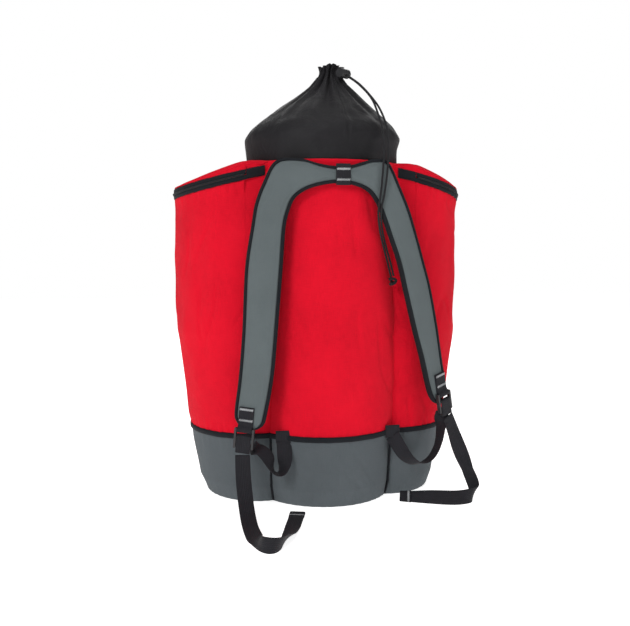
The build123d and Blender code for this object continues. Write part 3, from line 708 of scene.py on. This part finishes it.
def ribbon(name, path, sides, width, thick, material=WEB, count=110):
    """Flat webbing along a path in metres; sides are the directions of its width, spread along it."""
    line = resample(np.array(path), count) / MM
    keys = np.array([Vector(s).normalized() for s in sides])
    at = np.linspace(0, 1, len(keys))
    rings = []
    for k, p in enumerate(line):
        tangent = Vector(line[min(k + 1, count - 1)] - line[max(k - 1, 0)]).normalized()
        t = k / (count - 1)
        across = Vector([float(np.interp(t, at, keys[:, j])) for j in range(3)])
        across = (across - tangent * across.dot(tangent)).normalized()
        out = across.cross(tangent)
        ring = []
        for u, v in ((-1, 0), (-0.985, 0.62), (-0.9, 1), (-0.45, 1), (0, 1), (0.45, 1), (0.9, 1),
                     (0.985, 0.62), (1, 0), (0.985, -0.62), (0.9, -1), (0.45, -1), (0, -1), (-0.45, -1),
                     (-0.9, -1), (-0.985, -0.62)):
            ring.append(Vector(p) + across * (u * width / 2) + out * (v * thick / 2))
        rings.append(ring)
    points = [q for ring in rings for q in ring]
    n = len(rings[0])
    s = np.concatenate([[0], np.cumsum(np.linalg.norm(np.diff(line, axis=0), axis=1))])
    uvs = [((Vector(q) - Vector(line[k])).length * (1 if i < n / 2 else -1) * MM, s[k] * MM)
           for k, ring in enumerate(rings) for i, q in enumerate(ring)]
    faces = grid_faces(len(rings), n, True) + [tuple(range(n))[::-1],
                                               tuple(len(points) - n + i for i in range(n))]
    return fix_normals(mesh_object(name, points, faces, uvs, material))


# Routes of the free tails and of the slack webs, in metres, and the directions of the webbing's width.
TAIL = {
    "left": [(-0.158, -0.168, 0.099), (-0.158, -0.172, 0.072), (-0.157, -0.184, 0.045),
             (-0.156, -0.209, 0.020), (-0.155, -0.243, 0.006), (-0.153, -0.280, 0.003),
             (-0.152, -0.314, 0.006), (-0.148, -0.340, 0.0105), (-0.133, -0.350, 0.0115),
             (-0.119, -0.339, 0.009), (-0.109, -0.310, 0.005), (-0.096, -0.272, 0.0025),
             (-0.085, -0.236, 0.0015), (-0.075, -0.202, 0.0022)],
    "right": [(0.202, -0.144, 0.144), (0.212, -0.141, 0.120), (0.222, -0.139, 0.094),
              (0.233, -0.138, 0.068), (0.243, -0.139, 0.043), (0.250, -0.146, 0.023),
              (0.247, -0.163, 0.012), (0.232, -0.180, 0.011), (0.208, -0.184, 0.0105),
              (0.182, -0.176, 0.0105), (0.158, -0.164, 0.009), (0.133, -0.152, 0.006)],
}
TAIL_SIDES = {
    "left": [(0.92, -0.38, -0.05), (1, -0.1, 0), (1, 0, 0), (1, 0, 0.05), (0.9, 0.1, 0.4),
             (0.1, 0.1, 1), (0.3, -0.1, 0.9), (0.9, -0.3, 0.35), (0.93, -0.36, 0.02), (0.93, -0.36, 0)],
    "right": [(0.83, 0.5, 0.2), (0.9, 0.3, 0.3), (0.8, -0.2, 0.3), (0.5, -0.7, 0.2), (0.5, -0.5, 0.7),
              (0.1, 0.3, 1), (0, 0.5, 0.85), (0, 0.6, 0.8), (-0.1, 0.7, 0.6)],
}
SLACK = {
    "left": [(-0.087, -0.1470, 0.113), (-0.086, -0.1530, 0.092), (-0.087, -0.1590, 0.073),
             (-0.093, -0.1620, 0.062), (-0.103, -0.1620, 0.062), (-0.110, -0.1610, 0.073),
             (-0.114, -0.1595, 0.091), (-0.130, -0.1580, 0.106), (-0.152, -0.1575, 0.112)],
    "right": [(0.104, -0.139, 0.113), (0.113, -0.144, 0.096), (0.127, -0.147, 0.074),
              (0.147, -0.148, 0.062), (0.169, -0.146, 0.068), (0.185, -0.142, 0.090),
              (0.192, -0.138, 0.120), (0.1935, -0.137, 0.153)],
}
SLACK_SIDES = {
    "left": [(1, 0.1, 0), (1, -0.2, 0), (0.5, -0.9, 0), (-0.2, -1, 0), (-0.9, -0.5, 0.1),
             (-0.95, -0.2, 0.3), (-0.92, 0.38, 0.2)],
    "right": [(0.9, -0.2, 0.5), (0.75, -0.4, 0.55), (0.4, -0.8, 0.4), (0.1, -1, 0.1), (0.1, -1, 0),
              (0.3, -0.9, 0), (0.7, 0.2, 0)],
}


# Middle of each strap's sewn end as x and z, and its lean in degrees.
STRAP_END = {"left": (-150.0, 164.0, 5.0), "right": (186.0, 208.0, -12.0)}


def end_frame(name):
    """Origin and right, up and outward directions of a strap's end."""
    x, z, roll = STRAP_END[name]
    root = sqrt(1 - (x / PAD_A) ** 2)
    out = Vector((PAD_B * x / PAD_A**2 / root, -1, 0)).normalized()
    across = Vector((-out.y, out.x, 0))
    tilt = radians(roll)
    right = across * cos(tilt) - Vector((0, 0, 1)) * sin(tilt)
    return Vector((x, MAIN_Y - PAD_B * root, z)), right, out.cross(right), out


def strip(name, origin, right, profile, width, thick, material=WEB, count=60):
    """Webbing whose side view is a smooth line of (along, out) offsets in a local frame."""
    up, out = profile[0]
    line = smooth_curve([origin + up * a + out * b for a, b in profile[1]], 90) * MM
    return ribbon(name, line, [right, right], width, thick, material, count)


def stitches(name, origin, right, up, out, rows, width, body):
    """Dense zigzag bar tacks across a webbing."""
    points, faces = [], []
    for at in rows:
        for k in range(26):
            x = -width / 2 + width * k / 25
            base = len(points)
            lean = 0.5 if k % 2 else -0.5
            a = origin + right * (x - 0.42) + up * (at - 1.5 - lean)
            b = origin + right * (x + 0.42) + up * (at + 1.5 + lean)
            across = right * 0.34
            corners = [a - across, a + across, b + across, b - across]
            points += corners + [corner + out * 0.4 for corner in corners]
            faces += [tuple(base + i for i in f) for f in ((0, 1, 2, 3), (7, 6, 5, 4), (0, 4, 5, 1),
                                                           (1, 5, 6, 2), (2, 6, 7, 3), (3, 7, 4, 0))]
    obj = fix_normals(mesh_object(name, points, faces, None, THREAD, False))
    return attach(obj, body)


for name, side in SIDES:
    origin, right, up, out = end_frame(name)
    axes = (up, out)
    web = strip(f"{name}_end_web", origin, right,
                (axes, [(12, 1.0), (0, 1.0), (-12, 1.0), (-20, 1.3), (-24, 1.5), (-27.2, 1.5), (-29.3, 4.6),
                        (-26.5, 8.0), (-22, 6.5), (-18, 3.4), (-10, 2.7), (0, 2.7), (11, 2.7)]), WEB_W, WEB_T)
    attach(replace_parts(web, f"{name}_end_webbing"), f"{name}_strap")
    stitches(f"{name}_end_tacks", origin + out * 3.6, right, up, out, (-9.5, 8.5), 22, f"{name}_strap")
    web = strip(f"{name}_thread_web", origin, right,
                (axes, [(-41, 1.4), (-38, 1.3), (-35.5, 1.6), (-33.8, 4.8), (-35.5, 7.7), (-39, 8.1),
                        (-45, 8.0), (-54, 8.0), (-62.8, 8.1)]), WEB_W - 0.4, WEB_T)
    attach(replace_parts(web, f"{name}_web_thread"), f"{name}_buckle")
    path = spline_path(f"{name}_tail_route", TAIL[name])
    tail = ribbon(f"{name}_tail_web", path, TAIL_SIDES[name], WEB_W, WEB_T)
    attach(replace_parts(tail, f"{name}_web_tail"), f"{name}_buckle")
    end, before = Vector(path[-1]) / MM, Vector(path[-4]) / MM
    along = (end - before).normalized()
    side_dir = Vector(TAIL_SIDES[name][-1]).normalized()
    side_dir = (side_dir - along * side_dir.dot(along)).normalized()
    level = along.cross(side_dir)
    if level.z < 0:
        level = -level
    hem = ribbon(f"{name}_hem_web", [tuple((end + along * s) * MM) for s in (-1.0, 6.0, 12.0, 18.5)],
                 [side_dir, side_dir], 25.6, 4.6, WEB, 24)
    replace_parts(hem, f"{name}_web_hem")
    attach(hem, f"{name}_buckle")
    tack = stitches(f"{name}_hem_tacks", end + along * 3 + level * 2.3, side_dir, along, level, (0,), 22,
                    f"{name}_buckle")
    path = spline_path(f"{name}_slack_route", SLACK[name])
    slack = ribbon(f"{name}_slack_web", path, SLACK_SIDES[name], WEB_W, WEB_T)
    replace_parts(slack, f"{name}_web_slack")
    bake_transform(slack)
    x, y, _ = path[0]
    anchor = ribbon(f"{name}_anchor_web", [(x, y + 0.001, 0.131), (x, y, 0.122), (x, y, 0.110)],
                    [(1, 0.1 * side, 0)] * 2, 26, 2.6, WEB, 20)
    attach(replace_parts(anchor, f"{name}_web_anchor"), BODY)

lo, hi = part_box("yoke_webbing")
middle_x = (lo[0] + hi[0]) / 2 / MM
line = [on_pad(middle_x, z, h) * MM for z, h in ((569, 0.3), (562, 1.2), (552, 1.6), (542, 1.2), (535, 0.3))]
web = ribbon("yoke_web", line, [(1, 0, 0)] * 2, WEB_W - 1, WEB_T, WEB, 30)
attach(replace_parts(web, "yoke_webbing"), BODY)
stitches("yoke_tacks", on_pad(middle_x, 552, 2.5), Vector((1, 0, 0)), Vector((0, 0, 1)), Vector((0, -1, 0)),
         (-8.5, 8.5), 21, BODY)


# ---- drawcord ---------------------------------------------------------------------------------
def braid(name, route, radius, count=260):
    """A braided round cord along a route, with the braid's crossing strands in its surface."""
    path = spline_path(name + "_route", route)
    line = resample(np.array(path), count) / MM
    rings, normal = [], Vector((0, 0, 1))
    for k, p in enumerate(line):
        tangent = Vector(line[min(k + 1, count - 1)] - line[max(k - 1, 0)]).normalized()
        normal = (normal - tangent * normal.dot(tangent)).normalized()
        other = tangent.cross(normal)
        ring = []
        for c in range(12):
            a = 2 * pi * c / 12
            r = radius * (1 + 0.055 * sin(4 * a + k * 1.3) * sin(4 * a - k * 1.3))
            ring.append(Vector(p) + normal * (r * cos(a)) + other * (r * sin(a)))
        rings.append(ring)
    points = [q for ring in rings for q in ring]
    faces = grid_faces(count, 12, True) + [tuple(range(12))[::-1],
                                           tuple(len(points) - 12 + i for i in range(12))]
    uvs = [(i / 12 * 2 * pi * radius * MM, k * 1.7 * MM) for k in range(count) for i in range(12)]
    return fix_normals(mesh_object(name, points, faces, uvs, CORD)), path


CORD_START, CORD_DIR = Vector((0.0265, -0.054, 0.746)), Vector((0.5076, -0.654, -0.56)).normalized()
LOCK_OUT = Vector((0, 0, 1)).cross(CORD_DIR).normalized()
START_A, START_B = CORD_START - LOCK_OUT * 0.0022, CORD_START + LOCK_OUT * 0.0022
CORD_A = [START_A + CORD_DIR * 0.002, START_A + CORD_DIR * 0.027,
          START_A + CORD_DIR * 0.054 + Vector((0.0003, -0.0002, 0.0006)), (0.068, -0.122, 0.688),
          (0.073, -0.138, 0.664), (0.076, -0.166, 0.629), (0.072, -0.189, 0.590), (0.069, -0.1905, 0.553),
          (0.066, -0.1903, 0.520), (0.0625, -0.1865, 0.493), (0.069, -0.174, 0.464), (0.080, -0.159, 0.437),
          (0.090, -0.151, 0.409), (0.097, -0.147, 0.386)]
CORD_B = [START_B + CORD_DIR * 0.002, START_B + CORD_DIR * 0.027,
          START_B + CORD_DIR * 0.054 + Vector((0.0003, 0.0001, 0.0005)), (0.072, -0.110, 0.690),
          (0.081, -0.133, 0.666), (0.085, -0.162, 0.631), (0.080, -0.187, 0.592), (0.077, -0.1898, 0.555),
          (0.0725, -0.1898, 0.521), (0.0665, -0.1875, 0.494), (0.0735, -0.172, 0.464),
          (0.084, -0.158, 0.438), (0.0945, -0.1515, 0.411), (0.101, -0.1485, 0.388)]
knot_route = [(0.0945, -0.1455, 0.383), (0.099, -0.151, 0.384), (0.106, -0.149, 0.381),
              (0.105, -0.142, 0.377), (0.098, -0.140, 0.376), (0.096, -0.147, 0.373),
              (0.102, -0.152, 0.376), (0.107, -0.146, 0.381), (0.102, -0.140, 0.384),
              (0.097, -0.144, 0.380)]
knot, _ = braid("cord_knot", knot_route, 2.4, 90)
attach(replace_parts(knot, "drawcord_knot"), BODY)
for name, route in (("a", CORD_A), ("b", CORD_B)):
    strand, path = braid(f"drawcord_strand_{name}", [tuple(p) for p in route], 1.7)
    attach(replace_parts(strand, f"drawcord_{name}"), BODY)

# ---- carried-over hard pieces -----------------------------------------------------------------
FINISH = {"left_ladder_lock": PLASTIC, "right_ladder_lock": PLASTIC, "cord_lock_body": PLASTIC,
          "cord_lock_button": PLASTIC, "cord_lock_spring": STEEL, "left_zip_slider": METAL,
          "right_zip_slider": METAL, "left_zip_puller": METAL, "right_zip_puller": METAL,
          "base_panel": GREY}
for node, material in FINISH.items():
    obj = bpy.data.objects[node] if node in bpy.data.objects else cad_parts[node]
    for k in range(max(1, len(obj.material_slots))):
        if obj.material_slots:
            obj.material_slots[k].material = material
        else:
            obj.data.materials.append(material)
